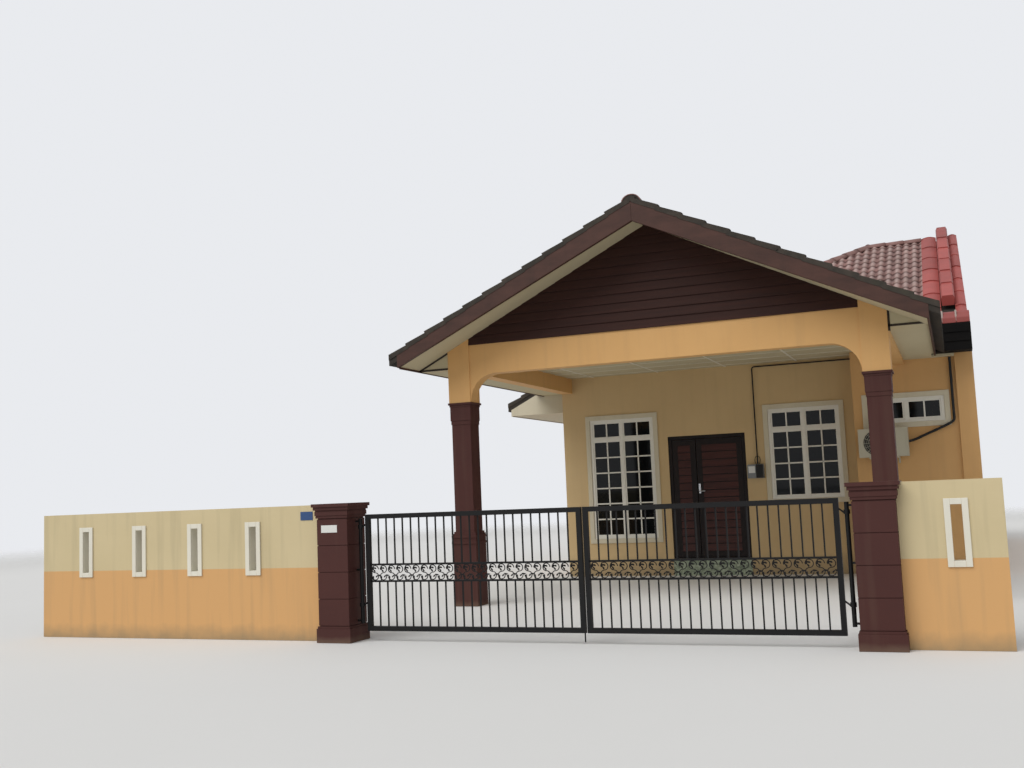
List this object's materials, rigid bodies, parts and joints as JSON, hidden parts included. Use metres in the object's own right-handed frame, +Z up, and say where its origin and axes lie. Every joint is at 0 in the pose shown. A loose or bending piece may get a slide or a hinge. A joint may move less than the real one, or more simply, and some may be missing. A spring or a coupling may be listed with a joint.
{
  "type": "bungalow",
  "caption": "Single-storey semi-detached bungalow with gabled car porch, arched porch beam, hipped tile roof, slatted front door and its own walled gateway.",
  "frame": {"origin": "middle of the footprint of house and frontage, on the ground", "axes": "+Z up, -Y towards the street, +X along the front towards the party wall"},
  "size_m": [10.991, 19.062, 6.6107],
  "materials": {
    "barge_board": "painted board",
    "beige_plastic": "casing",
    "black_board": "painted board",
    "black_metal": "painted steel",
    "cream_plaster": "painted plaster",
    "dark_board": "painted boards",
    "door_wood": "varnished",
    "floor_tile": "tiles on concrete",
    "grey_plastic": "casing",
    "maroon_paint": "painted plaster",
    "orange_plaster": "painted plaster",
    "red_tile": "painted tiles",
    "roof_tile": "interlocking concrete tiles",
    "soffit_sheet": "painted sheet",
    "step_tile": "glazed tiles",
    "white_frame": "powder coated with panes",
    "white_paint": "painted"
  },
  "bodies": {
    "house": {"floor_slab": "floor_tile", "door_step": "step_tile", "front_wall_left": "cream_plaster", "front_wall_right": "cream_plaster", "front_wall_over_door": "cream_plaster", "bay_wall": "orange_plaster", "side_wall": "orange_plaster", "rear_wall": "orange_plaster", "party_wall": "orange_plaster", "window_front_left": "white_frame", "window_front_right": "white_frame", "window_bay": "white_frame", "window_bedroom": "white_frame", "window_kitchen": "white_frame", "window_rear": "white_frame", "door_frame": "black_metal", "side_door": "white_paint", "porch_column_left": "maroon_paint", "porch_column_right": "maroon_paint", "porch_beam_front": "orange_plaster", "porch_beam_left": "orange_plaster", "porch_beam_right": "orange_plaster", "porch_ceiling": "soffit_sheet", "gable_boarding": "dark_board", "barge_left": "barge_board", "barge_right": "barge_board", "rake_soffit": "soffit_sheet", "eave_left_porch": "barge_board", "eave_left_low": "barge_board", "eave_left_rear": "barge_board", "eave_rear": "barge_board", "eave_right": "barge_board", "party_eave_box": "black_board", "roof_left": "roof_tile", "roof_porch_right": "roof_tile", "roof_front": "roof_tile", "roof_rear": "roof_tile", "ridge_porch": "roof_tile", "ridge_main": "roof_tile", "hip_front": "roof_tile", "hip_rear": "roof_tile", "party_coping": "red_tile", "eave_box_caps": "red_tile", "ac_unit": "beige_plastic", "meter_box": "grey_plastic", "gate_pillar_left": "maroon_paint", "gate_pillar_right": "maroon_paint", "boundary_wall_left": "cream_plaster", "boundary_wall_right": "cream_plaster", "hinge_post_left": "black_metal", "hinge_post_right": "black_metal"},
    "door_leaf_left": {"door_leaf_left": "door_wood"},
    "door_leaf_right": {"door_leaf_right": "door_wood"},
    "gate_leaf_left": {"gate_leaf_left": "black_metal"},
    "gate_leaf_right": {"gate_leaf_right": "black_metal"}
  },
  "joints": [
    {"name": "door_left_hinge", "type": "hinge", "parent": "house", "child": "door_leaf_left", "pos_m": [0.5455, -1.053, 1.29], "axis": [0, 0, 1], "range_deg": [0, 85]},
    {"name": "door_right_hinge", "type": "hinge", "parent": "house", "child": "door_leaf_right", "pos_m": [1.7675, -1.053, 1.29], "axis": [0, 0, -1], "range_deg": [0, 85]},
    {"name": "gate_left_hinge", "type": "hinge", "parent": "house", "child": "gate_leaf_left", "pos_m": [-0.9745, -9.296, 0.7], "axis": [0, 0, 1], "range_deg": [0, 90]},
    {"name": "gate_right_hinge", "type": "hinge", "parent": "house", "child": "gate_leaf_right", "pos_m": [4.1705, -9.296, 0.7], "axis": [0, 0, -1], "range_deg": [0, 90]}
  ]
}
